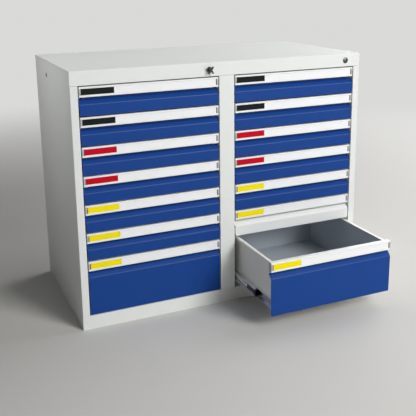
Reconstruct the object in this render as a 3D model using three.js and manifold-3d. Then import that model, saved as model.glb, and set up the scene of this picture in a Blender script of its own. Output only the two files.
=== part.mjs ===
// Industrial drawer cabinet with two bays of seven drawers, in millimetres.
// The origin is on the floor under the middle of the casing, +Z is up and the drawers face -Y.
// Each piece is drawn with y = 0 on the front plane of the casing, so y is the depth behind it.
import * as THREE from 'three';
import { mergeVertices } from 'three/addons/utils/BufferGeometryUtils.js';
import Module from 'manifold-3d';

// Casing
const bayWidth = 498;
const stileWidth = 26;
const postWidth = 58;
const casingDepth = 565;
const headerHeight = 50;
const headerRise = 2;
const railHeight = 50;
const sheet = 1.5;
const edgeRadius = 2;
const foldRadius = 1.2;
const frontUpright = 40;
const rearUpright = 70;
const headerReturn = 15;
const floorFlange = 40;
const crossMemberWidth = 60;
const crossMemberSetback = 45;

// Stack of drawers, from the top
const shallowHeight = 100;
const deepHeight = 200;
const shallowCount = 6;

// Clearances
const seam = 0.3;
const endSeam = 0.8;
const running = 0.5;
const frontGap = 2;
const sideGap = 3;

// Drawer front, whose upper edge leans back behind the handle
const creaseDrop = 60;
const bandRise = 17;
const bandDepth = 17;
const panRadius = 2;
const panCorner = 7;

// Handle strip: a label channel between two rims, a flange over the fingers and a lip behind
const stripHeight = 34;
const topRim = 6;
const bottomRim = 7;
const rimProud = 1.6;
const plateThickness = 2;
const flangeThickness = 1.8;
const palmRadius = 8;
const noseRadius = 1.5;
const footReturn = 6;
const footThickness = 1.6;
const lipDrop = 10;
const stripMargin = 1;
const grooveDepth = 0.7;
const grooveFront = 8;
const grooveWidth = 1.2;

// Tray
const trayClearance = 46;
const trayLift = 24;
const trayRimDrop = 6;
const trayWebDrop = 3;
const rimWidth = 10;
const rimLip = 8;
const hemHeight = 6;

// Telescopic slides
const slideSpace = 20;
const slideHeight = 35;
const slideGauge = 1.5;
const slideSetback = 22;
const slideSeat = 9;
const channelGap = 2;
const tipGap = 1;
const middleLength = 440;
const middleLip = 5;
const middleRadius = 1;

// The lowest drawer on the right stands open, and its middle members follow it part of the way
const pulledOut = 275;
const middleShare = 0.65;

// Cylinder locks in the header, each with a crank pin that lifts a hooked bar.
// A raised hook stands in front of the catch on its drawer, and a lowered one lets the catch pass.
const lockInset = 36.5;
const lockFaceRadius = 9;
const lockFaceProud = 2;
const lockFaceDome = 1.2;
const domeShares = [0, 0.4, 0.7, 0.9];
const lockBarrelRadius = 7.7;
const lockBarrelLength = 22;
const lockDiscThickness = 2.5;
const lockSides = 24;
const crankRadius = 2.5;
const crankSides = 12;
const lockStroke = 9;
const barThickness = 3;
const barSetback = 26;
const barWidth = 14;
const barInset = 3.5;
const barHeadHeight = 18;
const barHeadMargin = 5;
const barFootLift = 12;
const hookReach = 6;
const hookHeight = 7;
const hookDrop = 36;
const windowMargin = 1.5;
const catchGap = 2;
const catchWidth = 16;
const lockBay = 36;

// Key with a winged bow
const keyThickness = 2;
const keyHeight = 8;
const keySlotClearance = 0.4;
const keyInsertion = 12;
const keySlotDepth = 14;
const keyStandoff = 8;
const bowWidth = 20;
const bowHeight = 27;
const bowThickness = 6;
const bowRadius = 1.4;
const bowShares = [
  [-0.4, 0.5], [0, 0.14], [0.4, 0.5], [0.5, 0.36], [0.2, 0], [0.5, -0.4],
  [0.36, -0.5], [0, -0.14], [-0.36, -0.5], [-0.5, -0.4], [-0.2, 0], [-0.5, 0.36],
];

// Plug in each side panel
const plugDepth = 365;
const plugDrop = 54;
const plugRadius = 6;
const plugHeadRadius = 8;
const plugHeadProud = 1.5;
const plugStem = 6;

const curveSteps = 3;
const overrun = 5;
const weld = 1e-4;

// Places that follow from the sizes above
const openingHeight = shallowCount * shallowHeight + deepHeight;
const openingTop = railHeight + openingHeight;
const casingHeight = openingTop + headerHeight;
const casingWidth = 2 * (stileWidth + bayWidth) + postWidth;
const bayCentre = (postWidth + bayWidth) / 2;
const innerDepth = casingDepth - sheet - seam;
const underTop = casingHeight - sheet - seam;
const onDeck = railHeight + seam;
const headerFoot = openingTop + headerRise;
const underHeader = headerFoot - seam;
const frontWidth = bayWidth - 2 * sideGap;
const trayFront = bandDepth + seam;
const trayEnd = innerDepth - trayClearance;
const trayWall = bayWidth / 2 - slideSpace;
const slideEnd = innerDepth - rearUpright + slideSeat;
const slideHalf = slideHeight / 2;
const nestedHalf = slideHalf - slideGauge - running;
const channelReach = (slideSpace - channelGap) / 2;
const lockHeight = openingTop + headerHeight / 2;
const crankOffset = lockStroke * Math.SQRT1_2;
const crankDrop = lockStroke / 2;

const drawerHeights = [...Array(shallowCount).fill(shallowHeight), deepHeight];
const drawerTops = drawerHeights.map(
  (height, i) => openingTop - drawerHeights.slice(0, i).reduce((sum, h) => sum + h, 0),
);
const slideDrops = drawerHeights.map((height) => height - trayLift - slideHalf);

const wasm = await Module();
wasm.setup();

// A closed geometry as a solid that can be joined and cut
function solid(geometry) {
  geometry.deleteAttribute('normal');
  geometry.deleteAttribute('uv');
  const merged = mergeVertices(geometry, weld);
  const corners = merged.index.array;
  const triangles = [];
  for (let i = 0; i < corners.length; i += 3) {
    const [a, b, c] = [corners[i], corners[i + 1], corners[i + 2]];
    if (a !== b && b !== c && c !== a) triangles.push(a, b, c);
  }
  return new wasm.Manifold(new wasm.Mesh({
    numProp: 3,
    vertProperties: Float32Array.from(merged.attributes.position.array),
    triVerts: Uint32Array.from(triangles),
  }));
}

// A solid as the geometry of a mesh
function faces(body) {
  const { vertProperties, triVerts } = body.getMesh();
  const geometry = new THREE.BufferGeometry();
  geometry.setAttribute('position', new THREE.BufferAttribute(new Float32Array(vertProperties), 3));
  geometry.setIndex(new THREE.BufferAttribute(new Uint32Array(triVerts), 1));
  geometry.computeVertexNormals();
  return geometry;
}

const join = (first, ...rest) => rest.reduce((body, next) => body.add(next), first);
const cut = (first, ...rest) => rest.reduce((body, next) => body.subtract(next), first);

// A point on the line from one corner to another
function along(from, to, distance) {
  const start = new THREE.Vector2(from[0], from[1]);
  const end = new THREE.Vector2(to[0], to[1]);
  return end.sub(start).setLength(distance).add(start);
}

// A closed outline through corners [a, b, radius], where a corner with a radius is rounded
function outline(corners) {
  const shape = new THREE.Shape();
  corners.forEach((corner, i) => {
    const radius = corner[2] ?? 0;
    const before = along(corner, corners.at(i - 1), radius);
    const after = along(corner, corners[(i + 1) % corners.length], radius);
    if (i === 0) shape.moveTo(before.x, before.y);
    else shape.lineTo(before.x, before.y);
    if (radius > 0) shape.quadraticCurveTo(corner[0], corner[1], after.x, after.y);
  });
  shape.closePath();
  return shape;
}

const unitX = new THREE.Vector3(1, 0, 0);
const unitY = new THREE.Vector3(0, 1, 0);
const unitZ = new THREE.Vector3(0, 0, 1);

// Extrudes an outline so that its two axes and its length lie along three axes of the cabinet
function extrude(corners, from, to, ...axes) {
  const depth = to - from;
  const settings = { depth, bevelEnabled: false, curveSegments: curveSteps };
  const geometry = new THREE.ExtrudeGeometry(outline(corners), settings);
  geometry.translate(0, 0, from);
  geometry.applyMatrix4(new THREE.Matrix4().makeBasis(...axes));
  return solid(geometry);
}

// Corners are (depth, height) across the width, (x, height) through the depth, (x, depth) upwards
const alongX = (corners, from, to) => extrude(corners, from, to, unitY, unitZ, unitX);
const alongY = (corners, from, to) => extrude(
  corners.map(([x, z, radius]) => [z, x, radius]), from, to, unitZ, unitX, unitY,
);
const alongZ = (corners, from, to) => extrude(corners, from, to, unitX, unitY, unitZ);

const block = ([x0, x1], [y0, y1], [z0, z1]) => alongZ([[x0, y0], [x1, y0], [x1, y1], [x0, y1]], z0, z1);

// A round bar or hole from front to back
function rod(radius, sides, x, z, from, to) {
  const geometry = new THREE.CylinderGeometry(radius, radius, to - from, sides);
  geometry.translate(x, (from + to) / 2, z);
  return solid(geometry);
}

// Mirrors half an outline about x = 0, from its lowest middle point round and back again
const mirrored = (half) => [...half, ...half.toReversed().map(([x, z, radius]) => [-x, z, radius])];

// Section of a slide channel: a web sunk into the wall that carries it, and two flanges
function channel(wall, into, tip, centre, half) {
  const facing = Math.sign(tip - wall);
  const web = wall + facing * slideGauge;
  return [
    [wall - facing * into, centre - half],
    [tip, centre - half],
    [tip, centre - half + slideGauge],
    [web, centre - half + slideGauge],
    [web, centre + half - slideGauge],
    [tip, centre + half - slideGauge],
    [tip, centre + half],
    [wall - facing * into, centre + half],
  ];
}

// The cabinet's members of the slides, one for each drawer, on a wall that faces the bay
function cabinetMembers(wall, facing) {
  return drawerTops.map((top, i) => {
    const section = channel(wall, sheet / 2, wall + facing * channelReach, top - slideDrops[i], slideHalf);
    return alongY(section, slideSetback, slideEnd);
  });
}

// What the header, the bottom rail and the lock take out of every upright
function uprightClearance(from, to) {
  const through = innerDepth + overrun;
  return [
    block([from, to], [-overrun, lockBay], [underHeader, casingHeight]),
    block([from, to], [-overrun, through], [-overrun, onDeck]),
  ];
}

// Windows in the wall on the right of a bay, where the hooks of the lock bar reach through
function hookWindows(wall) {
  const width = [wall - overrun, wall + sheet + seam];
  const depth = [barSetback - windowMargin, barSetback + barThickness + windowMargin];
  return drawerTops.map((top) => {
    const foot = top - hookDrop - windowMargin;
    return block(width, depth, [foot, top - hookDrop + hookHeight + lockStroke + windowMargin]);
  });
}

// A side panel is one folded sheet: skin, front stile and rear post, each with a lip facing the bay
function sidePanel(side) {
  const at = (inset) => side * (casingWidth / 2 - inset);
  const section = [
    [0, 0, edgeRadius],
    [stileWidth, 0, edgeRadius],
    [stileWidth, frontUpright],
    [stileWidth - sheet, frontUpright],
    [stileWidth - sheet, sheet],
    [sheet, sheet],
    [sheet, innerDepth - sheet],
    [stileWidth - sheet, innerDepth - sheet],
    [stileWidth - sheet, innerDepth - rearUpright],
    [stileWidth, innerDepth - rearUpright],
    [stileWidth, innerDepth],
    [0, innerDepth],
  ].map(([inset, depth, radius]) => [at(inset), depth, radius]);
  const inside = [at(sheet), at(stileWidth + overrun)].sort((a, b) => a - b);
  const across = [at(-overrun), at(stileWidth + overrun)].sort((a, b) => a - b);
  const behindSheet = [-overrun, sheet + endSeam];
  const hole = new THREE.CylinderGeometry(plugRadius, plugRadius, 2 * (sheet + overrun), lockSides);
  hole.rotateZ(Math.PI / 2);
  hole.translate(at(0), plugDepth, casingHeight - plugDrop);
  const panel = cut(
    alongZ(section, 0, underTop),
    ...uprightClearance(...inside),
    block(across, behindSheet, [underHeader, casingHeight]),
    block(across, behindSheet, [-overrun, onDeck]),
    solid(hole),
  );
  return join(panel, ...cabinetMembers(at(stileWidth), -side));
}

// The partition is an I in plan: a front post, a rear post and one web between them
function centrePartition() {
  const half = postWidth / 2;
  const web = sheet / 2;
  const section = mirrored([
    [half, 0, edgeRadius],
    [half, frontUpright],
    [half - sheet, frontUpright],
    [half - sheet, sheet],
    [web, sheet],
    [web, innerDepth - sheet],
    [half - sheet, innerDepth - sheet],
    [half - sheet, innerDepth - rearUpright],
    [half, innerDepth - rearUpright],
    [half, innerDepth],
  ]);
  const post = cut(
    alongZ(section, onDeck, underTop),
    ...uprightClearance(-half - overrun, half + overrun),
    ...hookWindows(-half),
  );
  return join(post, ...cabinetMembers(-half, -1), ...cabinetMembers(half, 1));
}

const lockX = (bay) => bay * bayCentre + bayWidth / 2 - lockInset;

// The worktop sheet, folded down in front as the header, with a return under it
function topPanel() {
  const half = casingWidth / 2;
  const insideHalf = half - sheet - seam;
  const skin = alongX([
    [0, headerFoot, foldRadius],
    [sheet, headerFoot],
    [sheet, casingHeight - sheet],
    [casingDepth, casingHeight - sheet],
    [casingDepth, casingHeight],
    [0, casingHeight, edgeRadius],
  ], -half, half);
  const fold = alongX([
    [foldRadius, headerFoot],
    [headerReturn, headerFoot],
    [headerReturn, headerFoot + sheet],
    [foldRadius, headerFoot + sheet],
  ], -insideHalf, insideHalf);
  const holes = [-1, 1].map((bay) => rod(
    lockBarrelRadius + seam, lockSides, lockX(bay), lockHeight, -overrun, sheet + overrun,
  ));
  return cut(join(skin, fold), ...holes);
}

// The deck under the lowest drawers, folded down to the floor at the front and back
function basePanel() {
  const half = casingWidth / 2;
  const insideHalf = half - sheet - seam;
  const rail = alongX([
    [0, 0],
    [sheet, 0],
    [sheet, railHeight],
    [0, railHeight, foldRadius],
  ], -half, half);
  const pan = alongX([
    [foldRadius, 0],
    [floorFlange, 0],
    [floorFlange, sheet],
    [sheet, sheet],
    [sheet, railHeight - sheet],
    [innerDepth - sheet, railHeight - sheet],
    [innerDepth - sheet, sheet],
    [innerDepth - floorFlange, sheet],
    [innerDepth - floorFlange, 0],
    [innerDepth, 0],
    [innerDepth, railHeight],
    [foldRadius, railHeight],
  ], -insideHalf, insideHalf);
  const memberHalf = crossMemberWidth / 2;
  const crossMember = alongY(mirrored([
    [memberHalf, 0],
    [memberHalf, railHeight - sheet / 2],
    [memberHalf - sheet, railHeight - sheet / 2],
    [memberHalf - sheet, sheet],
  ]), crossMemberSetback, innerDepth - crossMemberSetback);
  return join(rail, pan, crossMember);
}

function backPanel() {
  const half = casingWidth / 2;
  return block([-half, half], [innerDepth + seam, casingDepth], [0, underTop]);
}

// The outer form of a drawer's front, drawn below the top of its place in the stack.
// With an inset it is the form inside the sheet, and runs on out of the back.
function frontBlock(height, halfWidth, inset) {
  const foot = frontGap - height + inset;
  const lean = bandRise / bandDepth;
  const shoulder = -creaseDrop + inset * (lean - Math.hypot(1, lean));
  const back = inset > 0 ? bandDepth + overrun : bandDepth;
  const rise = shoulder + (back - inset) * lean;
  const profile = alongX([
    [inset, foot, panRadius],
    [inset, shoulder, panRadius],
    [back, rise],
    [back, foot],
  ], inset - halfWidth, halfWidth - inset);
  const face = mirrored([
    [halfWidth - inset, foot, panCorner - inset],
    [halfWidth - inset, rise + overrun],
  ]);
  return profile.intersect(alongY(face, -overrun, back + overrun));
}

// The front: a sheet that bends back along its top and ends free at both sides,
// stiffened by a pan of the same form that is as wide as the tray
function drawerFront(height) {
  const half = frontWidth / 2;
  const behind = frontBlock(height + 2 * sheet, half + 2 * sheet, sheet);
  const skin = frontBlock(height, half, 0).subtract(behind);
  const pan = frontBlock(height, trayWall, 0).subtract(frontBlock(height, trayWall, sheet));
  return join(skin, pan);
}

// The handle strip, drawn below the top of its drawer's place in the stack
function handleStrip() {
  const seat = rimProud;
  const plateBack = seat + plateThickness;
  const top = -frontGap;
  const foot = top - stripHeight;
  return alongX([
    [0, top, noseRadius],
    [0, top - topRim, noseRadius / 2],
    [seat, top - topRim],
    [seat, foot + bottomRim],
    [0, foot + bottomRim, noseRadius / 2],
    [0, foot, noseRadius],
    [footReturn, foot],
    [footReturn, foot + footThickness],
    [plateBack, foot + footThickness, noseRadius],
    [plateBack, top - flangeThickness, palmRadius],
    [bandDepth - flangeThickness, top - flangeThickness, noseRadius],
    [bandDepth - flangeThickness, top - lipDrop],
    [bandDepth, top - lipDrop],
    [bandDepth, top],
    [grooveFront + grooveWidth, top],
    [grooveFront + grooveWidth, top - grooveDepth],
    [grooveFront, top - grooveDepth],
    [grooveFront, top],
  ], stripMargin - frontWidth / 2, frontWidth / 2 - stripMargin);
}

// The tray: floor and walls with turned-over rims, a web behind the front, a rear wall,
// the drawer's own slide members along both sides and the catch for its hook on the lock bar
function drawerTray(height, slideDrop, nested) {
  const floor = trayLift - height;
  const rim = -trayRimDrop;
  const web = -trayWebDrop;
  const section = mirrored([
    [trayWall, floor],
    [trayWall, rim - sheet],
    [trayWall + rimWidth - sheet, rim - sheet],
    [trayWall + rimWidth - sheet, rim - rimLip],
    [trayWall + rimWidth, rim - rimLip],
    [trayWall + rimWidth, rim, noseRadius],
    [trayWall - sheet, rim, noseRadius],
    [trayWall - sheet, floor + sheet],
  ]);
  const frontWeb = alongX([
    [trayFront, floor],
    [trayFront + sheet, floor],
    [trayFront + sheet, web - hemHeight],
    [trayFront + 2 * sheet, web - hemHeight],
    [trayFront + 2 * sheet, web],
    [trayFront, web],
  ], -trayWall, trayWall);
  const rearWall = alongX([
    [trayEnd - sheet, floor],
    [trayEnd, floor],
    [trayEnd, rim - sheet],
    [trayEnd + rimWidth, rim - sheet],
    [trayEnd + rimWidth, rim],
    [trayEnd - sheet, rim],
  ], -trayWall, trayWall);
  const reach = nested ? slideSpace - slideGauge - tipGap : channelReach;
  const half = nested ? nestedHalf : slideHalf;
  const members = [-1, 1].map((side) => alongY(
    channel(side * trayWall, sheet / 2, side * (trayWall + reach), -slideDrop, half),
    trayFront + sheet / 2,
    trayEnd,
  ));
  const body = alongY(section, trayFront + sheet / 2, trayEnd - sheet / 2);
  const catchFront = barSetback + barThickness + catchGap;
  const lockCatch = block(
    [trayWall - sheet / 2, trayWall + catchWidth],
    [catchFront, catchFront + sheet],
    [lockStroke - hookDrop, lockStroke - hookDrop + hookHeight],
  );
  return join(body, frontWeb, rearWall, lockCatch, ...members);
}

// Middle member of a three-member slide, two lipped channels back to back that run in the others
function middleMember(side, slideDrop) {
  const outer = bayWidth / 2 - slideGauge - tipGap;
  const inner = bayWidth / 2 - slideSpace + slideGauge + tipGap;
  const centre = (outer + inner) / 2;
  const web = slideGauge / 2;
  const flange = nestedHalf - slideGauge;
  const lip = nestedHalf - middleLip;
  const corners = [
    [inner, -nestedHalf, middleRadius],
    [outer, -nestedHalf, middleRadius],
    [outer, -lip],
    [outer - slideGauge, -lip],
    [outer - slideGauge, -flange],
    [centre + web, -flange],
    [centre + web, flange],
    [outer - slideGauge, flange],
    [outer - slideGauge, lip],
    [outer, lip],
    [outer, nestedHalf, middleRadius],
    [inner, nestedHalf, middleRadius],
    [inner, lip],
    [inner + slideGauge, lip],
    [inner + slideGauge, flange],
    [centre - web, flange],
    [centre - web, -flange],
    [inner + slideGauge, -flange],
    [inner + slideGauge, -lip],
    [inner, -lip],
  ].map(([x, z, radius]) => [side * x, z - slideDrop, radius]);
  const front = trayFront + sheet + running;
  return alongY(corners, front, front + middleLength);
}

// A lock, drawn about its own axis: domed face, barrel, and a disc behind that carries the crank pin
function lockCylinder() {
  const discFront = lockBarrelLength;
  const discBack = discFront + lockDiscThickness;
  const faceEdge = lockFaceRadius - seam;
  const face = -seam - lockFaceProud;
  const dome = domeShares.map((share) => [share * faceEdge, face - lockFaceDome * (1 - share * share)]);
  const profile = [
    ...dome,
    [faceEdge, face],
    [lockFaceRadius, -lockFaceProud],
    [lockFaceRadius, -seam],
    [lockBarrelRadius, -seam],
    [lockBarrelRadius, discFront],
    [lockFaceRadius, discFront],
    [lockFaceRadius, discBack],
    [0, discBack],
  ].map(([radius, depth]) => new THREE.Vector2(radius, depth));
  const turned = solid(new THREE.LatheGeometry(profile, lockSides));
  const pinEnd = barSetback + barThickness + seam;
  const pin = rod(crankRadius, crankSides, crankDrop, -crankDrop, discFront + lockDiscThickness / 2, pinEnd);
  const slotWidth = keyThickness / 2 + keySlotClearance;
  const slotHeight = keyHeight / 2 + keySlotClearance;
  const slot = block([-slotWidth, slotWidth], [-overrun, keySlotDepth], [-slotHeight, slotHeight]);
  return cut(join(turned, pin), slot);
}

// The key: a winged bow in front of the lock and a blade in its slot
function lockKey() {
  const bowBack = -seam - lockFaceProud - keyStandoff;
  const bow = alongY(
    bowShares.map(([across, up]) => [across * bowWidth, up * bowHeight, bowRadius]),
    bowBack - bowThickness,
    bowBack,
  );
  const width = keyThickness / 2;
  const height = keyHeight / 2;
  const blade = block([-width, width], [bowBack - bowThickness / 2, keyInsertion], [-height, height]);
  return join(bow, blade);
}

// The lock bar, drawn from the wall on the right of its bay: a strip inside the upright,
// hooks through the windows and a head with a slot for the crank pin
function lockBar() {
  const strip = [sheet + barInset, sheet + barInset + barWidth];
  const depth = [barSetback, barSetback + barThickness];
  const crankX = -lockInset;
  const headFoot = lockHeight - crankDrop - barHeadHeight / 2;
  const slotHalf = crankRadius + running;
  const slotStart = crankX + crankDrop - slotHalf;
  const slotEnd = crankX + crankOffset + slotHalf;
  const hooks = drawerTops.map((top) => block(
    [-hookReach, strip[1]], depth, [top - hookDrop, top - hookDrop + hookHeight],
  ));
  const head = block([slotStart - barHeadMargin, strip[1]], depth, [headFoot, headFoot + barHeadHeight]);
  const slotMiddle = lockHeight - crankDrop;
  const slot = block(
    [slotStart, slotEnd],
    [depth[0] - overrun, depth[1] + overrun],
    [slotMiddle - slotHalf, slotMiddle + slotHalf],
  );
  const back = block(strip, depth, [railHeight + barFootLift, headFoot + barHeadHeight]);
  return cut(join(back, head, ...hooks), slot);
}

// The plug in a side panel, drawn with its head towards +Y and turned outwards where it is placed
function sidePlug() {
  const profile = [
    [0, -plugStem],
    [plugRadius - seam, -plugStem],
    [plugRadius - seam, seam],
    [plugHeadRadius, seam],
    [plugHeadRadius, plugHeadProud / 2],
    [plugHeadRadius - plugHeadProud / 2, plugHeadProud],
    [0, plugHeadProud],
  ].map(([radius, out]) => new THREE.Vector2(radius, out));
  return solid(new THREE.LatheGeometry(profile, crankSides));
}

// Finishes
const finish = (color, roughness, metalness) => ({ color, roughness, metalness });
const finishes = {
  casing: finish(0xe2e4e2, 0.45, 0.1),
  blueFront: finish(0x2b4d92, 0.35, 0.1),
  greyFront: finish(0xd9dbdb, 0.4, 0.1),
  tray: finish(0xa6a8a4, 0.45, 0.2),
  handle: finish(0xf0f1f0, 0.4, 0.1),
  slide: finish(0x9aa0a4, 0.35, 0.8),
  lock: finish(0x55585a, 0.3, 0.9),
  key: finish(0x1c1d1f, 0.5, 0.0),
  plug: finish(0x4a4c4d, 0.6, 0.0),
};

function piece(name, body, look) {
  const mesh = new THREE.Mesh(faces(body), new THREE.MeshStandardMaterial(finishes[look]));
  mesh.name = name;
  return mesh;
}

function placed(x, y, z, ...meshes) {
  const group = new THREE.Group();
  group.position.set(x, y, z);
  group.add(...meshes);
  return group;
}

const cabinet = new THREE.Group();
cabinet.position.y = -casingDepth / 2;

cabinet.add(
  piece('side_panel_left', sidePanel(-1), 'casing'),
  piece('side_panel_right', cut(sidePanel(1), ...hookWindows(casingWidth / 2 - stileWidth)), 'casing'),
  piece('centre_partition', centrePartition(), 'casing'),
  piece('top_panel', topPanel(), 'casing'),
  piece('base_panel', basePanel(), 'casing'),
  piece('back_panel', backPanel(), 'casing'),
);

const bays = [['left', -1], ['right', 1]];
const greyDrawer = 'right_drawer_6';
const openDrawer = `right_drawer_${drawerHeights.length}`;

for (const [bayName, bay] of bays) {
  drawerHeights.forEach((height, i) => {
    const name = `${bayName}_drawer_${i + 1}`;
    const out = name === openDrawer ? pulledOut : 0;
    const deep = i === drawerHeights.length - 1;
    cabinet.add(placed(
      bay * bayCentre, -out, drawerTops[i],
      piece(`${name}_front`, drawerFront(height), name === greyDrawer ? 'greyFront' : 'blueFront'),
      piece(`${name}_handle`, handleStrip(), 'handle'),
      piece(`${name}_tray`, drawerTray(height, slideDrops[i], !deep), 'tray'),
    ));
    if (!deep) return;
    cabinet.add(placed(
      bay * bayCentre, -out * middleShare, drawerTops[i],
      piece(`${name}_middle_slide_left`, middleMember(-1, slideDrops[i]), 'slide'),
      piece(`${name}_middle_slide_right`, middleMember(1, slideDrops[i]), 'slide'),
    ));
  });

  const lock = placed(lockX(bay), 0, lockHeight, piece(`lock_cylinder_${bayName}`, lockCylinder(), 'lock'));
  if (bay < 0) lock.add(piece('lock_key_left', lockKey(), 'key'));
  cabinet.add(lock, placed(
    bay * bayCentre + bayWidth / 2, 0, 0, piece(`lock_bar_${bayName}`, lockBar(), 'slide'),
  ));

  const plug = piece(`side_plug_${bayName}`, sidePlug(), 'plug');
  plug.rotation.z = -bay * Math.PI / 2;
  cabinet.add(placed(bay * casingWidth / 2, plugDepth, casingHeight - plugDrop, plug));
}

export default cabinet;
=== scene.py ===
# %% [markdown]
# # Industrial drawer cabinet
# A steel cabinet with two bays of seven drawers, dressed for rendering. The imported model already
# holds every panel, drawer front, handle strip, tray, slide and lock at its real size. This lesson
# loads it, aims a camera, lights it, makes the finishes of each kind of metal, plastic and card,
# and adds the small parts that are easier to shape here: card inserts, labels, end caps, screws,
# slide bumpers and ball cages.

# %% Load the model
import math
import bmesh
import bpy
from mathutils import Matrix, Vector


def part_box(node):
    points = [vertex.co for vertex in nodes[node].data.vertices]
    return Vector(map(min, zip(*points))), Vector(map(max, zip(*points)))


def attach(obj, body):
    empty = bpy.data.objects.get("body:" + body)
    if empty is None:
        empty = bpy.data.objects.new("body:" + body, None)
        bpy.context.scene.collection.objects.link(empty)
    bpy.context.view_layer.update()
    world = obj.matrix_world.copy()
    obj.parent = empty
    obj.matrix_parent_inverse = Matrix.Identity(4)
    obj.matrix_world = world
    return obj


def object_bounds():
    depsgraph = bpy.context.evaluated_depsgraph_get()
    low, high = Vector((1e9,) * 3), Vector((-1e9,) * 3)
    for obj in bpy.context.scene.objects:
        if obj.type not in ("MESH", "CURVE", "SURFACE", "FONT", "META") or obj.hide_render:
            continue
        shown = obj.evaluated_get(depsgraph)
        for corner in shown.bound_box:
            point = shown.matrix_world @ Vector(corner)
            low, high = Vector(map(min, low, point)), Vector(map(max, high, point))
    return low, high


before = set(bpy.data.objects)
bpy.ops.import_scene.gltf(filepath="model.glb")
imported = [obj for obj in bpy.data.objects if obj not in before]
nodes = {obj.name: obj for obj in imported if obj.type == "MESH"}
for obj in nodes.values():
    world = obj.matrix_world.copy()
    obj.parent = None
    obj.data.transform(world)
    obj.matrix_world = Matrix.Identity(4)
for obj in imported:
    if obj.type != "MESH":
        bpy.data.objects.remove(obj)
cad_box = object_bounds()

# %% [markdown]
# The model is in metres, but sheet metal is thought of in millimetres, so every size below is a
# count of millimetres times `mm`. A drawer is described by the box of its handle strip: its left
# and right ends, the plane of its rims and its upper edge. Everything on a drawer is placed from
# those four numbers, so that it stays in place on all fourteen.

# %% Sizes and places
mm = 0.001
touch = 0.05 * mm

strip_height = 34 * mm
top_rim = 6 * mm
bottom_rim = 7 * mm
channel_depth = 1.6 * mm
front_depth = 17 * mm
lip_thickness = 1.8 * mm

drawer_names = sorted(name[: -len("_handle")] for name in nodes if name.endswith("_handle"))
label_order = ["black", "black", "red", "red", "yellow", "yellow", "yellow"]


def strip_of(drawer):
    """Left end, right end, rim plane and upper edge of a drawer's handle strip."""
    low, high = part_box(drawer + "_handle")
    return low.x, high.x, low.y, high.z


print(len(drawer_names), "drawers, from", drawer_names[0], "to", drawer_names[-1])

# %% [markdown]
# The camera stands to the left of the cabinet, a little above its top, about two metres and a half
# away. Its place, its turn and the focal length come from lining up the casing's corners and edges
# with the picture. The lens is also shifted a little, which keeps the uprights nearly upright, as
# the picture has them.

# %% Camera
picture_size = 416
sensor_width = 36
camera_place = Vector((-1.0439, -2.5066, 1.1924))
camera_yaw = math.radians(23.544)
camera_pitch = math.radians(-13.873)
camera_roll = math.radians(0.728)
focal_pixels = 708.6
lens_shift = -0.14
farthest_view = 100

camera_data = bpy.data.cameras.new("camera")
camera_data.sensor_width = sensor_width
camera_data.lens = focal_pixels * sensor_width / picture_size
camera_data.shift_y = lens_shift
camera_data.clip_end = farthest_view
camera = bpy.data.objects.new("camera", camera_data)
turned = Matrix.Rotation(-camera_yaw, 4, "Z")
tilted = Matrix.Rotation(math.pi / 2 + camera_pitch, 4, "X")
rolled = Matrix.Rotation(-camera_roll, 4, "Z")
camera.matrix_world = Matrix.Translation(camera_place) @ turned @ tilted @ rolled
bpy.context.scene.collection.objects.link(camera)
bpy.context.scene.camera = camera
print("lens", round(camera_data.lens, 1), "mm")

# %% [markdown]
# A product studio is a pale floor under a few large soft panels. The key stands in front on the
# right, with one weaker panel below it and one higher up, so that the drawer fronts are bright and
# the left side falls into shade. A panel over the right end lights the worktop. A small one near
# the upper left does what a bright wall would: the top of the shaded side is lighter than its
# foot. The one behind stands far to the right, where the worktop does not mirror it into the
# camera. The world only fills the shade a little. Far from the cabinet the floor fades into one
# pale tone, which is also what the camera and reflections see of the world, so that the floor has
# no visible end.

# %% Floor and lights
floor_size = 60
floor_tone = (0.62, 0.612, 0.59, 1)
far_tone = (0.70, 0.70, 0.69, 1)
fade_start = 1.6
fade_end = 4.5
floor_roughness = 0.75
floor_specular = 0.2
fill_tone = (1.0, 1.0, 0.965, 1)
fill_strength = 0.04


def shader(name):
    """A new material with an empty node tree, its output and a Principled shader."""
    material = bpy.data.materials.new(name)
    material.use_nodes = True
    tree = material.node_tree
    tree.nodes.clear()
    output = tree.nodes.new("ShaderNodeOutputMaterial")
    surface = tree.nodes.new("ShaderNodeBsdfPrincipled")
    tree.links.new(surface.outputs["BSDF"], output.inputs["Surface"])
    return material, tree, surface


def background_rays(tree):
    """An output that is 1 for the camera's rays and for those that a mirror or glass sends on."""
    rays = tree.nodes.new("ShaderNodeLightPath")
    shows = rays.outputs["Is Camera Ray"]
    for kind in ("Is Glossy Ray", "Is Transmission Ray"):
        either = tree.nodes.new("ShaderNodeMath")
        either.operation = "MAXIMUM"
        tree.links.new(shows, either.inputs[0])
        tree.links.new(rays.outputs[kind], either.inputs[1])
        shows = either.outputs["Value"]
    return shows


floor_material, floor_tree, floor_surface = shader("studio_floor")
floor_surface.inputs["Roughness"].default_value = floor_roughness
floor_surface.inputs["Specular IOR Level"].default_value = floor_specular
floor_surface.inputs["Base Color"].default_value = floor_tone
floor_place = floor_tree.nodes.new("ShaderNodeTexCoord")
reach = floor_tree.nodes.new("ShaderNodeVectorMath")
reach.operation = "LENGTH"
fade = floor_tree.nodes.new("ShaderNodeMapRange")
fade.interpolation_type = "SMOOTHSTEP"
fade.inputs["From Min"].default_value = fade_start
fade.inputs["From Max"].default_value = fade_end
shown = floor_tree.nodes.new("ShaderNodeMath")
shown.operation = "MULTIPLY"
far_glow = floor_tree.nodes.new("ShaderNodeEmission")
far_glow.inputs["Color"].default_value = far_tone
blend = floor_tree.nodes.new("ShaderNodeMixShader")
floor_output = floor_tree.nodes["Material Output"]
floor_tree.links.new(floor_place.outputs["Object"], reach.inputs[0])
floor_tree.links.new(reach.outputs["Value"], fade.inputs["Value"])
floor_tree.links.new(fade.outputs["Result"], shown.inputs[0])
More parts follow.
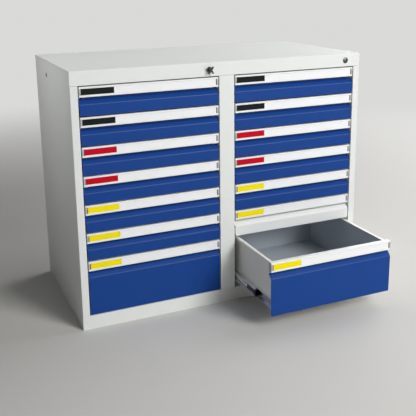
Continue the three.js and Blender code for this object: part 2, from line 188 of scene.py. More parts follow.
floor_tree.links.new(background_rays(floor_tree), shown.inputs[1])
floor_tree.links.new(shown.outputs["Value"], blend.inputs["Fac"])
floor_tree.links.new(floor_surface.outputs["BSDF"], blend.inputs[1])
floor_tree.links.new(far_glow.outputs["Emission"], blend.inputs[2])
floor_tree.links.new(blend.outputs["Shader"], floor_output.inputs["Surface"])

floor_mesh = bmesh.new()
bmesh.ops.create_grid(floor_mesh, x_segments=1, y_segments=1, size=floor_size / 2)
floor_data = bpy.data.meshes.new("studio_floor")
floor_mesh.to_mesh(floor_data)
floor_mesh.free()
floor_data.materials.append(floor_material)
floor = bpy.data.objects.new("studio_floor", floor_data)
floor.location.z = -touch
bpy.context.scene.collection.objects.link(floor)

world = bpy.data.worlds.new("studio")
bpy.context.scene.world = world
world.use_nodes = True
sky = world.node_tree
sky.nodes.clear()
fill = sky.nodes.new("ShaderNodeBackground")
fill.inputs["Color"].default_value = fill_tone
fill.inputs["Strength"].default_value = fill_strength
backdrop = sky.nodes.new("ShaderNodeBackground")
backdrop.inputs["Color"].default_value = far_tone
sky_mix = sky.nodes.new("ShaderNodeMixShader")
sky_output = sky.nodes.new("ShaderNodeOutputWorld")
sky.links.new(background_rays(sky), sky_mix.inputs["Fac"])
sky.links.new(fill.outputs["Background"], sky_mix.inputs[1])
sky.links.new(backdrop.outputs["Background"], sky_mix.inputs[2])
sky.links.new(sky_mix.outputs["Shader"], sky_output.inputs["Surface"])

cabinet_middle = (cad_box[0] + cad_box[1]) / 2


def soft_light(name, place, width, power, aim=cabinet_middle):
    """A square area light, width metres wide and power watts strong, that faces the cabinet."""
    data = bpy.data.lights.new(name, "AREA")
    data.shape = "SQUARE"
    data.size = width
    data.energy = power
    light = bpy.data.objects.new(name, data)
    light.location = place
    light.rotation_euler = (Vector(aim) - Vector(place)).to_track_quat("-Z", "Y").to_euler()
    light.visible_camera = False
    bpy.context.scene.collection.objects.link(light)


soft_light("key_light", (2.4, -5.2, 3.6), 2.4, 266)
soft_light("front_light", (2.8, -5.8, 1.5), 2.4, 38)
soft_light("high_light", (0.9, -3.4, 4.6), 2.2, 38)
soft_light("top_light", (2.6, 0.4, 3.4), 2.4, 66)
soft_light("wall_light", (-1.15, 0.0, 1.05), 0.5, 1.85, aim=(-0.55, 0.0, 1.15))
soft_light("rear_light", (3.8, 2.6, 1.6), 2.0, 60)
bpy.context.scene.view_settings.view_transform = "Standard"
print("six lights and a world of", fill_strength)

# %% [markdown]
# Several finishes share the same effects, so each effect is a node group with named sockets. One
# helper adds a node by its type and sets its plain values, two more make a group and place it in
# a material, and the last mixes two colours or numbers by a mask. A Mix node has one set of
# sockets for numbers and one for colours, so the helper looks up which ones its kind uses.

# %% Node helpers


def add(tree, kind, **values):
    """Adds a node. Values name its properties, or its input sockets with underscores for spaces."""
    made = tree.nodes.new(kind)
    for name, value in values.items():
        socket = name.replace("_", " ")
        if socket in made.inputs:
            made.inputs[socket].default_value = value
        else:
            setattr(made, name, value)
    return made


def new_group(name, inputs, outputs):
    """A shader node group whose sockets are given as name: (type, default)."""
    group = bpy.data.node_groups.new(name, "ShaderNodeTree")
    for label, (kind, default) in inputs.items():
        socket = group.interface.new_socket(label, in_out="INPUT", socket_type=kind)
        socket.default_value = default
    for label, kind in outputs.items():
        group.interface.new_socket(label, in_out="OUTPUT", socket_type=kind)
    return group, group.nodes.new("NodeGroupInput"), group.nodes.new("NodeGroupOutput")


def use_group(tree, group, **values):
    """Places a node group in a material with its own values."""
    made = tree.nodes.new("ShaderNodeGroup")
    made.node_tree = group
    for name, value in values.items():
        made.inputs[name.replace("_", " ")].default_value = value
    return made


mix_sockets = {"RGBA": (6, 7, 2), "FLOAT": (2, 3, 0)}


def blended(tree, mask, first, second, kind="RGBA"):
    """One output that goes from first to second, a socket or a colour, where the mask is 1."""
    mixer = add(tree, "ShaderNodeMix", data_type=kind)
    first_slot, second_slot, result_slot = mix_sockets[kind]
    tree.links.new(mask, mixer.inputs[0])
    for slot, value in ((first_slot, first), (second_slot, second)):
        if isinstance(value, tuple):
            mixer.inputs[slot].default_value = (*value, 1)
        else:
            tree.links.new(value, mixer.inputs[slot])
    return mixer.outputs[result_slot]


number = "NodeSocketFloat"
colour = "NodeSocketColor"
direction = "NodeSocketVector"
print("node helpers ready")

# %% [markdown]
# Folded sheet has rounded bends, and paint is drawn thin over them, so an edge catches light. The
# Bevel node rounds the shading across sharp edges without touching the mesh. Where the rounded
# normal leaves the true one there is an edge, and that difference is also a mask for a paler tone,
# partly the thinner paint and partly a painted highlight along the edge. A higher sharpness lets
# even a shallow crease reach the mask in full, which paints a thin highlight along it.

# %% Edge group
bevel_samples = 4

edge_group, edge_in, edge_out = new_group(
    "rounded_edges",
    {"Radius": (number, 1.0 * mm), "Sharpness": (number, 6.0)},
    {"Normal": direction, "Edge": number},
)
rounded = add(edge_group, "ShaderNodeBevel", samples=bevel_samples)
true_normal = add(edge_group, "ShaderNodeNewGeometry")
agreement = add(edge_group, "ShaderNodeVectorMath", operation="DOT_PRODUCT")
departure = add(edge_group, "ShaderNodeMath", operation="SUBTRACT")
departure.inputs[0].default_value = 1
strength = add(edge_group, "ShaderNodeMath", operation="MULTIPLY", use_clamp=True)
edge_group.links.new(edge_in.outputs["Radius"], rounded.inputs["Radius"])
edge_group.links.new(rounded.outputs["Normal"], agreement.inputs[0])
edge_group.links.new(true_normal.outputs["True Normal"], agreement.inputs[1])
edge_group.links.new(agreement.outputs["Value"], departure.inputs[1])
edge_group.links.new(departure.outputs["Value"], strength.inputs[0])
edge_group.links.new(edge_in.outputs["Sharpness"], strength.inputs[1])
edge_group.links.new(rounded.outputs["Normal"], edge_out.inputs["Normal"])
edge_group.links.new(strength.outputs["Value"], edge_out.inputs["Edge"])
print("edge group has", len(edge_group.nodes), "nodes")

# %% [markdown]
# Powder coat is not smooth: it levels into a fine orange peel about a millimetre across. Its tone
# drifts very slightly over a panel, where the coat is thicker, and its gloss varies a little where
# it has been handled. The group takes the paint's colour and the edge mask and gives back a colour,
# a roughness and a height for the bump. The colour is paler at the edges, partly thinner paint and
# partly a painted highlight.

# %% Powder coat group
thin_coat_and_highlight = (0.95, 0.96, 1.0)
sheen_spread = 0.05

coat_group, coat_in, coat_out = new_group(
    "powder_coat",
    {
        "Color": (colour, (0.8, 0.8, 0.8, 1)),
        "Edge": (number, 0.0),
        "Edge lift": (number, 0.25),
        "Drift": (number, 0.03),
        "Roughness": (number, 0.4),
    },
    {"Color": colour, "Roughness": number, "Height": number},
)
coat_place = add(coat_group, "ShaderNodeTexCoord")
peel = add(coat_group, "ShaderNodeTexNoise", Scale=700.0, Detail=1.0, Roughness=0.4)
clouds = add(coat_group, "ShaderNodeTexNoise", Scale=2.3, Detail=3.0, Roughness=0.55)
handled = add(coat_group, "ShaderNodeTexNoise", Scale=14.0, Detail=4.0, Roughness=0.6)
drift_low = add(coat_group, "ShaderNodeMath", operation="SUBTRACT")
drift_low.inputs[0].default_value = 1
drift = add(coat_group, "ShaderNodeMapRange", To_Max=1.0)
drifted = add(coat_group, "ShaderNodeVectorMath", operation="SCALE")
lift = add(coat_group, "ShaderNodeMath", operation="MULTIPLY")
sheen_low = add(coat_group, "ShaderNodeMath", operation="SUBTRACT")
sheen_low.inputs[1].default_value = sheen_spread
sheen_high = add(coat_group, "ShaderNodeMath", operation="ADD")
sheen_high.inputs[1].default_value = sheen_spread
sheen = add(coat_group, "ShaderNodeMapRange")
for texture in (peel, clouds, handled):
    coat_group.links.new(coat_place.outputs["Object"], texture.inputs["Vector"])
coat_group.links.new(coat_in.outputs["Drift"], drift_low.inputs[1])
coat_group.links.new(clouds.outputs["Fac"], drift.inputs["Value"])
coat_group.links.new(drift_low.outputs["Value"], drift.inputs["To Min"])
coat_group.links.new(coat_in.outputs["Color"], drifted.inputs[0])
coat_group.links.new(drift.outputs["Result"], drifted.inputs["Scale"])
coat_group.links.new(coat_in.outputs["Edge"], lift.inputs[0])
coat_group.links.new(coat_in.outputs["Edge lift"], lift.inputs[1])
# Towards the edges the colour is mixed with a near white, partly thinner paint and partly a painted
# highlight.
paler = blended(coat_group, lift.outputs["Value"], drifted.outputs["Vector"], thin_coat_and_highlight)
coat_group.links.new(coat_in.outputs["Roughness"], sheen_low.inputs[0])
coat_group.links.new(coat_in.outputs["Roughness"], sheen_high.inputs[0])
coat_group.links.new(handled.outputs["Fac"], sheen.inputs["Value"])
coat_group.links.new(sheen_low.outputs["Value"], sheen.inputs["To Min"])
coat_group.links.new(sheen_high.outputs["Value"], sheen.inputs["To Max"])
coat_group.links.new(paler, coat_out.inputs["Color"])
coat_group.links.new(sheen.outputs["Result"], coat_out.inputs["Roughness"])
coat_group.links.new(peel.outputs["Fac"], coat_out.inputs["Height"])
print("powder coat group has", len(coat_group.nodes), "nodes")

# %% [markdown]
# Rolled steel and zinc carry fine streaks along the length of the part, which show in the gloss
# and the bump, and zinc also has lighter and darker patches. The streaks are noise stretched along
# Y, which is how every slide of this cabinet lies.

# %% Rolled metal group
streak_dullness = 0.2
darkest_patch = 0.8
lightest_patch = 1.1

metal_group, metal_in, metal_out = new_group(
    "rolled_metal",
    {"Color": (colour, (0.6, 0.6, 0.6, 1)), "Roughness": (number, 0.35), "Stretch": (number, 0.02)},
    {"Color": colour, "Roughness": number, "Height": number},
)
metal_place = add(metal_group, "ShaderNodeTexCoord")
stretch = add(metal_group, "ShaderNodeCombineXYZ", X=1.0, Z=1.0)
along = add(metal_group, "ShaderNodeVectorMath", operation="MULTIPLY")
streaks = add(metal_group, "ShaderNodeTexNoise", Scale=900.0, Detail=2.0)
patches = add(metal_group, "ShaderNodeTexNoise", Scale=60.0, Detail=3.0)
tone = add(metal_group, "ShaderNodeMapRange", To_Min=darkest_patch, To_Max=lightest_patch)
toned = add(metal_group, "ShaderNodeVectorMath", operation="SCALE")
dull = add(metal_group, "ShaderNodeMath", operation="MULTIPLY")
dull.inputs[1].default_value = streak_dullness
rough = add(metal_group, "ShaderNodeMath", operation="ADD")
metal_group.links.new(metal_in.outputs["Stretch"], stretch.inputs["Y"])
metal_group.links.new(metal_place.outputs["Object"], along.inputs[0])
metal_group.links.new(stretch.outputs["Vector"], along.inputs[1])
metal_group.links.new(along.outputs["Vector"], streaks.inputs["Vector"])
metal_group.links.new(metal_place.outputs["Object"], patches.inputs["Vector"])
metal_group.links.new(patches.outputs["Fac"], tone.inputs["Value"])
metal_group.links.new(metal_in.outputs["Color"], toned.inputs[0])
metal_group.links.new(tone.outputs["Result"], toned.inputs["Scale"])
metal_group.links.new(streaks.outputs["Fac"], dull.inputs[0])
metal_group.links.new(dull.outputs["Value"], rough.inputs[0])
metal_group.links.new(metal_in.outputs["Roughness"], rough.inputs[1])
metal_group.links.new(toned.outputs["Vector"], metal_out.inputs["Color"])
metal_group.links.new(rough.outputs["Value"], metal_out.inputs["Roughness"])
metal_group.links.new(streaks.outputs["Fac"], metal_out.inputs["Height"])
print("rolled metal group has", len(metal_group.nodes), "nodes")

# %% [markdown]
# In the model the cabinet's slide members are one with the walls, and a drawer's own members are
# one with its tray, but on the real object they are zinc plated steel on painted sheet. The band
# between a member's lips is given a painted shade. The inside of the tray is given a darker, cooler
# grey, a painted shade with a painted reflection of blue, and its web shows the colour of the front
# behind the finger gap. So the paint needs masks that say which part of the sheet it is on. All
# slides lie at the same distance from the middle of their bay and repeat up the stack at one pitch,
# so the group takes the distance sideways, wraps the height at that pitch and looks which way the
# face points. A face counts as pointing some way when that part of its normal is more than half.

# %% Sheet regions group
member_edge = 17.8 * mm
race_edge = 13.6 * mm
wall_inside = 228.2 * mm
floor_below_slide = 16 * mm
floor_reach = 1.2 * mm
web_before = -150 * mm
facing_share = 0.5
bay_middle = abs(sum(corner.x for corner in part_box("left_drawer_1_tray"))) / 2
slide_height = sum(corner.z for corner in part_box("left_drawer_7_middle_slide_left")) / 2
drawer_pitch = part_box("left_drawer_1_handle")[1].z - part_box("left_drawer_2_handle")[1].z

region_group, region_in, region_out = new_group(
    "sheet_regions",
    {"From": (number, 0.0), "To": (number, 1.0)},
    {"Member": number, "Race shade": number, "Inside": number, "Web": number},
)


def region_math(operation, *values):
    """A value in the group, worked out from sockets or plain numbers."""
    node = add(region_group, "ShaderNodeMath", operation=operation)
    for slot, value in enumerate(values):
        if isinstance(value, float):
            node.inputs[slot].default_value = value
        else:
            region_group.links.new(value, node.inputs[slot])
    return node.outputs["Value"]


region_place = add(region_group, "ShaderNodeTexCoord")
region_face = add(region_group, "ShaderNodeNewGeometry")
apart = add(region_group, "ShaderNodeSeparateXYZ")
pointing = add(region_group, "ShaderNodeSeparateXYZ")
region_group.links.new(region_place.outputs["Object"], apart.inputs["Vector"])
region_group.links.new(region_face.outputs["Normal"], pointing.inputs["Vector"])

from_bay = region_math("SUBTRACT", region_math("ABSOLUTE", apart.outputs["X"]), bay_middle)
sideways = region_math("ABSOLUTE", from_bay)
above_slide = region_math("SUBTRACT", apart.outputs["Z"], slide_height)
wrapped = region_math("WRAP", above_slide, drawer_pitch / 2, -drawer_pitch / 2)
off_centre = region_math("ABSOLUTE", wrapped)
beyond = region_math("GREATER_THAN", sideways, region_in.outputs["From"])
within = region_math("LESS_THAN", sideways, region_in.outputs["To"])
on_member = region_math("LESS_THAN", off_centre, member_edge)
member = region_math("MULTIPLY", region_math("MULTIPLY", beyond, within), on_member)
# This mask marks the band between a member's lips, which is given a painted shade.
race_shade = region_math("MULTIPLY", member, region_math("LESS_THAN", off_centre, race_edge))

inner = region_math("LESS_THAN", sideways, wall_inside)
upright = region_math("LESS_THAN", region_math("ABSOLUTE", pointing.outputs["Z"]), facing_share)
floor_error = region_math("ABSOLUTE", region_math("ADD", wrapped, floor_below_slide))
floor_near = region_math("LESS_THAN", floor_error, floor_reach)
faces_up = region_math("GREATER_THAN", pointing.outputs["Z"], facing_share)
tray_floor = region_math("MULTIPLY", floor_near, faces_up)
inside = region_math("MULTIPLY", inner, region_math("MAXIMUM", upright, tray_floor))
faces_front = region_math("LESS_THAN", pointing.outputs["Y"], -facing_share)
in_front = region_math("LESS_THAN", apart.outputs["Y"], web_before)
web = region_math("MULTIPLY", inner, region_math("MULTIPLY", faces_front, in_front))
for label, value in (("Member", member), ("Race shade", race_shade), ("Inside", inside), ("Web", web)):
    region_group.links.new(value, region_out.inputs[label])
print("slides repeat every", round(drawer_pitch / mm), "mm about", round(bay_middle / mm), "mm")

# %% [markdown]
# With the groups in place a finish is only a few lines. Painted sheet joins the edge group to the
# powder coat group, and walls and trays blend in zinc where the masks find a slide member. Between
# the lips of a member the zinc is darker, a painted shade where the balls run in the shadowed race.
# The casing, the outside of the trays and one drawer front are light grey, the other fronts are
# blue, and the handle strips are a whiter paint with a little more gloss. The outside of the trays
# is painted lighter and their inside darker and cooler than their one real paint, painted light and
# painted shade. The creases of the blue fronts show as thin paler lines, a painted highlight.

# %% Painted finishes
zinc_tint = (0.86, 0.88, 0.91)
zinc_roughness = 0.13
# A darker zinc, the painted shade between a member's lips.
race_shade_tint = (0.42, 0.44, 0.46)
bend_rounding = 1.0 * mm
lip_rounding = 2.2 * mm
peel_height = 0.02 * mm


def painted(
    name, tint, roughness=0.4, lift=0.25, drift=0.03, specular=0.3, sharpness=6.0,
    rounding=bend_rounding, members=None, inside=None, web=None,
):
    """
    Powder-coated sheet steel. Members gives the reach of the zinc slide members on it, inside the
    darker colour painted as shade inside a tray, and web the colour on its web.
    """
    material, tree, surface = shader(name)
    surface.inputs["Specular IOR Level"].default_value = specular
    edges = use_group(tree, edge_group, Radius=rounding, Sharpness=sharpness)
    coat = use_group(
        tree, coat_group, Color=(*tint, 1), Edge_lift=lift, Drift=drift, Roughness=roughness,
    )
    tree.links.new(edges.outputs["Edge"], coat.inputs["Edge"])
    tone, dullness, height = (coat.outputs[label] for label in ("Color", "Roughness", "Height"))
    if members:
        regions = use_group(tree, region_group, From=members[0], To=members[1])
        if inside:
            # Painted shade inside the tray.
            tone = blended(tree, regions.outputs["Inside"], tone, inside)
        if web:
            tone = blended(tree, regions.outputs["Web"], tone, web)
        member = regions.outputs["Member"]
        zinc = use_group(tree, metal_group, Color=(*zinc_tint, 1), Roughness=zinc_roughness)
        tone = blended(tree, member, tone, zinc.outputs["Color"])
        # Painted shade between the lips of each slide member.
        tone = blended(tree, regions.outputs["Race shade"], tone, race_shade_tint)
        dullness = blended(tree, member, dullness, zinc.outputs["Roughness"], "FLOAT")
        height = blended(tree, member, height, zinc.outputs["Height"], "FLOAT")
        tree.links.new(member, surface.inputs["Metallic"])
    bump = add(tree, "ShaderNodeBump", Strength=0.5, Distance=peel_height)
    tree.links.new(edges.outputs["Normal"], bump.inputs["Normal"])
    tree.links.new(height, bump.inputs["Height"])
    tree.links.new(tone, surface.inputs["Base Color"])
    tree.links.new(dullness, surface.inputs["Roughness"])
    tree.links.new(bump.outputs["Normal"], surface.inputs["Normal"])
    return material


casing_tint = (0.80, 0.82, 0.80)
blue_tint = (0.009, 0.056, 0.268)
grey_tint = (0.84, 0.85, 0.84)
# The trays have one real light grey paint. Outside it is painted lighter, painted light on its
# shaded side, and inside darker and bluer, painted shade with a painted reflection of blue.
lightened_tray_tint = (0.91, 0.905, 0.85)
inside_shade_tint = (0.50, 0.54, 0.585)
handle_tint = (0.87, 0.88, 0.875)
on_walls = (229.2 * mm, 248.8 * mm)
on_trays = (229.2 * mm, bay_middle)
casing_paint = painted("casing_paint", casing_tint, roughness=0.5, specular=0.1)
wall_paint = painted("wall_paint", casing_tint, roughness=0.5, specular=0.1, members=on_walls)
tray_finish = {"rounding": lip_rounding, "members": on_trays, "inside": inside_shade_tint}
tray_paint = painted("tray_paint", lightened_tray_tint, web=blue_tint, **tray_finish)
grey_tray_paint = painted("grey_tray_paint", lightened_tray_tint, web=grey_tint, **tray_finish)
# The high sharpness of the blue paint puts a painted highlight on every crease of the fronts.
blue_paint = painted(
    "blue_paint", blue_tint, roughness=0.36, lift=0.12, drift=0.05, specular=0.14, sharpness=60.0,
)
grey_paint = painted("grey_paint", grey_tint)
handle_paint = painted("handle_paint", handle_tint, roughness=0.32, lift=0.1, drift=0.02)
print("seven paints")

# %% [markdown]
# The middle slide members and the lock bars are zinc plated, the locks dark nickel, the screws a
# duller zinc and the balls bright steel. Turned parts have no direction of rolling, so the streaks
# on them are not stretched.

# %% Metal finishes
streak_height = 0.01 * mm


def metallic(name, tint, roughness, stretch=0.02, rounding=0.4 * mm):
    """Bare or plated steel with fine streaks, which are long where stretch is small."""
    material, tree, surface = shader(name)
    rolled = use_group(tree, metal_group, Color=(*tint, 1), Roughness=roughness, Stretch=stretch)
    edges = use_group(tree, edge_group, Radius=rounding)
    bump = add(tree, "ShaderNodeBump", Strength=0.3, Distance=streak_height)
    surface.inputs["Metallic"].default_value = 1
    tree.links.new(edges.outputs["Normal"], bump.inputs["Normal"])
    tree.links.new(rolled.outputs["Height"], bump.inputs["Height"])
    tree.links.new(rolled.outputs["Color"], surface.inputs["Base Color"])
    tree.links.new(rolled.outputs["Roughness"], surface.inputs["Roughness"])
    tree.links.new(bump.outputs["Normal"], surface.inputs["Normal"])
    return material


slide_zinc = metallic("slide_zinc", zinc_tint, zinc_roughness, rounding=lip_rounding)
lock_nickel = metallic("lock_nickel", (0.13, 0.13, 0.135), 0.1, stretch=1.0)
screw_zinc = metallic("screw_zinc", (0.42, 0.43, 0.45), 0.3, stretch=1.0)
bright_steel = metallic("bright_steel", (0.75, 0.76, 0.78), 0.15, stretch=1.0)
print("four metals")

# %% [markdown]
# Small plastic parts are moulded in a spark-eroded tool, which leaves a fine even grain. Inserts
# and labels are card with a slight fibre mottle. The white insert lies behind a clear film, which
# shows as a thin coat of gloss over the paper.

# %% Plastic and card finishes
grain_height = 0.02 * mm
mottle_span = 0.15
fibre_span = 0.04
card_roughness = 0.6
card_specular = 0.1
film_roughness = 0.08
film_weight = 0.1


def scaled(tint, share):
    """A colour with each channel taken times a share."""
    return tuple(share * channel for channel in tint)


def moulded(name, tint, roughness=0.5):
    """Moulded plastic or rubber with a fine grain."""
    material, tree, surface = shader(name)
    place = add(tree, "ShaderNodeTexCoord")
    grain = add(tree, "ShaderNodeTexNoise", Scale=1200.0, Detail=2.0)
    mottle = add(tree, "ShaderNodeTexNoise", Scale=90.0, Detail=2.0)
    bump = add(tree, "ShaderNodeBump", Strength=0.4, Distance=grain_height)
    surface.inputs["Roughness"].default_value = roughness
    tree.links.new(place.outputs["Object"], grain.inputs["Vector"])
    tree.links.new(place.outputs["Object"], mottle.inputs["Vector"])
    darker, lighter = scaled(tint, 1 - mottle_span), scaled(tint, 1 + mottle_span)
    shade = blended(tree, mottle.outputs["Fac"], darker, lighter)
    tree.links.new(shade, surface.inputs["Base Color"])
    tree.links.new(grain.outputs["Fac"], bump.inputs["Height"])
    tree.links.new(bump.outputs["Normal"], surface.inputs["Normal"])
    return material


def card(name, tint, film=0.0):
    """Plain card, behind clear film where film is more than 0."""
    material, tree, surface = shader(name)
    place = add(tree, "ShaderNodeTexCoord")
    fibres = add(tree, "ShaderNodeTexNoise", Scale=400.0, Detail=3.0)
    surface.inputs["Roughness"].default_value = card_roughness
    surface.inputs["Specular IOR Level"].default_value = card_specular
    surface.inputs["Coat Weight"].default_value = film
    surface.inputs["Coat Roughness"].default_value = film_roughness
    tree.links.new(place.outputs["Object"], fibres.inputs["Vector"])
    shade = blended(tree, fibres.outputs["Fac"], scaled(tint, 1 - fibre_span), tint)
    tree.links.new(shade, surface.inputs["Base Color"])
    return material


black_plastic = moulded("black_plastic", (0.014, 0.014, 0.015), roughness=0.42)
plug_plastic = moulded("plug_plastic", (0.06, 0.06, 0.06))
cap_plastic = moulded("cap_plastic", (0.46, 0.46, 0.47))
bumper_rubber = moulded("bumper_rubber", (0.010, 0.010, 0.010), roughness=0.7)
insert_card = card("insert_card", (0.91, 0.915, 0.925), film_weight)
label_finishes = {
    "black": card("black_label", (0.008, 0.010, 0.010)),
    "red": card("red_label", (0.58, 0.001, 0.015)),
    "yellow": card("yellow_label", (0.97, 0.81, 0.001)),
}
print("four plastics, one insert card and", len(label_finishes), "label colours")

# %% [markdown]
# Each node of the model already has one material slot. Its finish follows from what the node is,
# which its name says, so a short table of parts of names is enough. A later entry overrules an
# earlier one, which is how the grey drawer and its tray get their own paint.

# %% Finishes on the model
node_finishes = {
    "_front": blue_paint,
    "_handle": handle_paint,
    "_tray": tray_paint,
    "middle_slide": slide_zinc,
    "lock_bar": slide_zinc,
    "lock_cylinder": lock_nickel,
    "lock_key": black_plastic,
    "side_plug": plug_plastic,
    "right_drawer_6_front": grey_paint,
    "right_drawer_6_tray": grey_tray_paint,
    "side_panel": wall_paint,
    "centre_partition": wall_paint,
}


def finish_for(name):
    """The last table entry that is part of the node's name, or the casing's paint."""
    matches = [finish for part, finish in node_finishes.items() if part in name]
    return matches[-1] if matches else casing_paint


for name, part in nodes.items():
    part.material_slots[0].material = finish_for(name)
print("dressed", len(nodes), "nodes")

# %% [markdown]
# Every added part is made the same way: a bmesh is shaped with operators, turned into an object at
# the origin, given its finish and told which body carries it. Two helpers cover most shapes, a
# block with rounded edges and a turned part spun from a short profile.

# %% Modelling helpers
weld_distance = 0.001 * mm
sharp_degrees = 35


def make_piece(name, shape, finish, body):
    """Turns a bmesh into a piece that rides on a body."""
    bmesh.ops.remove_doubles(shape, verts=shape.verts, dist=weld_distance)
    bmesh.ops.recalc_face_normals(shape, faces=shape.faces)
    data = bpy.data.meshes.new(name)
    shape.to_mesh(data)
    shape.free()
    data.materials.append(finish)
    piece = bpy.data.objects.new(name, data)
    bpy.context.scene.collection.objects.link(piece)
    data.shade_smooth()
    data.set_sharp_from_angle(angle=math.radians(sharp_degrees))
    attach(piece, body)


def add_block(shape, low, high, rounding, steps=2):
    """Adds a block between two corners, with all its edges rounded."""
    low, high = Vector(low), Vector(high)
    fit = Matrix.Translation((low + high) / 2) @ Matrix.Diagonal((*(high - low), 1))
    corners = bmesh.ops.create_cube(shape, size=1, matrix=fit)["verts"]
    edges = list(dict.fromkeys(edge for corner in corners for edge in corner.link_edges))
    bmesh.ops.bevel(
        shape, geom=edges, offset=rounding, segments=steps, profile=0.5, affect="EDGES",
        material=-1,
    )


def add_turned(shape, profile, centre, axis, steps):
    """Spins a profile of (radius, distance along the axis) points about the axis through centre."""
    centre, axis = Vector(centre), Vector(axis).normalized()
    across = axis.orthogonal().normalized()
    points = [shape.verts.new(centre + across * out + axis * along) for out, along in profile]
    edges = [shape.edges.new(pair) for pair in zip(points, points[1:])]
    bmesh.ops.spin(
        shape, geom=points + edges, cent=centre, axis=axis, angle=math.tau, steps=steps,
        use_merge=True,
    )


print("helpers ready")

# %% [markdown]
# The label channel of a handle strip holds a white card over its full length, with a coloured label
# at its left end. The card is cut a little short of the rims, so a fine shadow line runs along it.
# A grey end cap closes the strip at each end: a plate over the end of the section and a land in the
# channel. Between the land and the card a dark strip paints the shadow line at the cap's inner
# edge.

# %% Cards, labels and end caps
cap_width = 8 * mm
card_thickness = 0.3 * mm
card_gap = 0.35 * mm
label_length = 109 * mm
label_gap = 0.05 * mm
label_thickness = 0.12 * mm
cap_proud = 0.25 * mm
shadow_line_width = 2.6 * mm
plate_thickness = 0.9 * mm
plate_inset = 0.5 * mm
plate_rounding = 0.4 * mm
card_rounding = 0.06 * mm
label_rounding = 0.03 * mm
land_rounding = 0.5 * mm
shadow_line_rounding = 0.3 * mm

for drawer in drawer_names:
    left, right, rim_plane, upper = strip_of(drawer)
    card_top = upper - top_rim - card_gap
    card_foot = upper - strip_height + bottom_rim + card_gap
    seat = rim_plane + channel_depth - touch
    card_front = seat - card_thickness

    shape = bmesh.new()
    card_low = (left + cap_width, card_front, card_foot)
    card_high = (right - cap_width, seat, card_top)
    add_block(shape, card_low, card_high, card_rounding, steps=1)
    make_piece(drawer + "_card", shape, insert_card, drawer)

    shape = bmesh.new()
    label_seat = card_front - touch
    add_block(
        shape,
        (left + cap_width + label_gap, label_seat - label_thickness, card_foot + label_gap),
        (left + cap_width + label_length, label_seat, card_top - label_gap),
        label_rounding,
        steps=1,
    )
    label_colour = label_order[int(drawer[-1]) - 1]
    make_piece(drawer + "_label", shape, label_finishes[label_colour], drawer)

    caps, shadow_lines = bmesh.new(), bmesh.new()
    cap_foot, cap_top = card_foot - card_gap / 2, card_top + card_gap / 2
    for end, inward in ((left, 1), (right, -1)):
        land_end = end + inward * (cap_width - shadow_line_width)
        shadow_near, shadow_far = sorted((land_end, end + inward * cap_width))
        land_near, land_far = sorted((end + inward * touch, land_end))
        plate_near, plate_far = sorted((end - inward * touch, end - inward * plate_thickness))
        land_low = (land_near, rim_plane + cap_proud, cap_foot)
        add_block(caps, land_low, (land_far, seat, cap_top), land_rounding)
        add_block(
            caps,
            (plate_near, rim_plane + plate_inset, upper - strip_height + plate_inset),
            (plate_far, rim_plane + front_depth - plate_inset, upper - plate_inset),
            plate_rounding,
        )
        # A dark strip beside the card, a painted shadow line at the cap's edge.
        add_block(
            shadow_lines,
            (shadow_near + touch, rim_plane + 2 * cap_proud, cap_foot),
            (shadow_far - touch, seat, cap_top),
            shadow_line_rounding,
        )
    make_piece(drawer + "_end_caps", caps, cap_plastic, drawer)
    make_piece(drawer + "_card_stops", shadow_lines, bumper_rubber, drawer)

print("cards, labels and end caps on", len(drawer_names), "drawers")

# %% [markdown]
# Two pan-head screws hold the lip behind the handle strip to the web of the tray. They hide in the
# finger gap and show only from below. A head is one turned profile, with a round recess sunk
# into its crown for the driver.

# %% Screws behind the handle strips
screw_radius = 3.2 * mm
screw_height = 1.9 * mm
screw_inset = 40 * mm
screw_drop = 6.5 * mm
recess_depth = 1.1 * mm

pan_head = [
    (0, screw_height - recess_depth),
    (0.36 * screw_radius, screw_height - recess_depth),
    (0.42 * screw_radius, 0.96 * screw_height),
    (0.8 * screw_radius, 0.75 * screw_height),
    (0.97 * screw_radius, 0.4 * screw_height),
    (screw_radius, 0),
    (0, 0),
]

for drawer in drawer_names:
    left, right, rim_plane, upper = strip_of(drawer)
    shape = bmesh.new()
    for x in (left + screw_inset, right - screw_inset):
        place = (x, rim_plane + front_depth - lip_thickness - touch, upper - screw_drop)
        add_turned(shape, pan_head, place, (0, -1, 0), steps=16)
    make_piece(drawer + "_screws", shape, screw_zinc, drawer)

print("two screws behind each handle")

# %% [markdown]
# The middle member of a three-part slide is two lipped channels back to back. Each channel carries
# a ball cage: a steel strip with a row of balls along each edge and a black plastic tip in front,
# which spreads the grease. A rubber bumper at the member's front end stops it against the next
# part without a bang. Its flange covers the end of the section by a fraction of a millimetre.

# %% Bumpers and ball cages
bumper_length = 15 * mm
bumper_half = 10 * mm
bumper_rounding = 1.5 * mm
flange_length = 3.5 * mm
flange_rounding = 1.2 * mm
sleeve = 0.25 * mm
lip_height = 5 * mm
cage_length = 300 * mm
tip_length = 55 * mm
cage_setback = bumper_length + 4 * mm
cage_depth = 2.6 * mm
cage_margin = 0.8 * mm
cage_rounding = 0.5 * mm
ball_radius = 1.6 * mm
ball_count = 14
web_half = 0.75 * mm

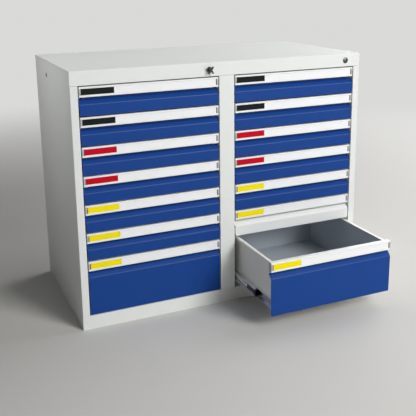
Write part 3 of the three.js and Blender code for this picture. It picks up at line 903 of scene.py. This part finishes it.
for name in sorted(node for node in nodes if "middle_slide" in node):
    low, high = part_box(name)
    middle_x = (low.x + high.x) / 2

    shape = bmesh.new()
    skin = Vector((sleeve, sleeve, sleeve))
    middle_z = (low.z + high.z) / 2
    block_low = Vector((low.x, low.y, middle_z - bumper_half))
    block_high = Vector((high.x, low.y + bumper_length, middle_z + bumper_half))
    flange_high = Vector((high.x, low.y + flange_length, high.z))
    add_block(shape, block_low - skin, block_high + skin, bumper_rounding, steps=3)
    add_block(shape, low - skin, flange_high + skin, flange_rounding, steps=3)
    make_piece(name + "_bumper", shape, bumper_rubber, name)

    cage, tips, balls = bmesh.new(), bmesh.new(), bmesh.new()
    start = low.y + cage_setback
    foot, head = low.z + lip_height + cage_margin, high.z - lip_height - cage_margin
    for side in (-1, 1):
        web_face = middle_x + side * (web_half + touch)
        near, far = sorted((web_face, web_face + side * cage_depth))
        add_block(tips, (near, start, foot), (far, start + tip_length, head), cage_rounding)
        strip_start = start + tip_length + touch
        strip_high = (far, start + cage_length, head)
        add_block(cage, (near, strip_start, foot), strip_high, cage_rounding)
        for row in (foot + 2 * ball_radius, head - 2 * ball_radius):
            for i in range(ball_count):
                y = strip_start + (cage_length - tip_length) * (i + 0.5) / ball_count
                centre = (middle_x + side * (web_half + cage_depth), y, row)
                bmesh.ops.create_icosphere(
                    balls, subdivisions=2, radius=ball_radius, matrix=Matrix.Translation(centre),
                )
    make_piece(name + "_cage", cage, slide_zinc, name)
    make_piece(name + "_cage_tips", tips, black_plastic, name)
    make_piece(name + "_balls", balls, bright_steel, name)

print("bumpers and cages on the middle members")

# %% [markdown]
# Each lock sits in a nickel ring that covers the edge of its hole in the header. The ring is one
# closed profile spun about the axis of the lock: a flat seat, an outside that rounds over to the
# crown and a small bevel down to the cylinder.

# %% Lock rings
ring_inner = 9.15 * mm
ring_outer = 11 * mm
ring_height = 1.8 * mm

ring = [
    (ring_inner, 0),
    (ring_inner, 0.8 * ring_height),
    (ring_inner + 0.3 * mm, ring_height),
    (ring_outer - 0.8 * mm, 0.9 * ring_height),
    (ring_outer - 0.2 * mm, 0.45 * ring_height),
    (ring_outer, 0),
    (ring_inner, 0),
]
header_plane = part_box("top_panel")[0].y
for side in ("left", "right"):
    low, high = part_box("lock_cylinder_" + side)
    centre = ((low.x + high.x) / 2, header_plane - touch, (low.z + high.z) / 2)
    shape = bmesh.new()
    add_turned(shape, ring, centre, (0, -1, 0), steps=48)
    make_piece("lock_ring_" + side, shape, lock_nickel, "casing")

print("two lock rings")

# %% [markdown]
# The back panel is a plain sheet, fixed to the rear uprights and to the partition with low blind
# rivets. They stand less than a millimetre proud and are spaced evenly up each upright.

# %% Rivets in the back panel
rivet_radius = 4 * mm
rivet_height = 0.8 * mm
rivet_rows = 7
rivet_margin = 45 * mm
stile_middle = 13 * mm

rivet = [
    (0, rivet_height),
    (0.5 * rivet_radius, 0.9 * rivet_height),
    (0.85 * rivet_radius, 0.5 * rivet_height),
    (rivet_radius, 0),
    (0, 0),
]
low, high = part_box("back_panel")
shape = bmesh.new()
for x in (low.x + stile_middle, (low.x + high.x) / 2 - stile_middle, high.x - stile_middle):
    for row in range(rivet_rows):
        z = low.z + rivet_margin + (high.z - low.z - 2 * rivet_margin) * row / (rivet_rows - 1)
        add_turned(shape, rivet, (x, high.y + touch, z), (0, 1, 0), steps=16)
make_piece("back_rivets", shape, casing_paint, "casing")
print(3 * rivet_rows, "rivets")
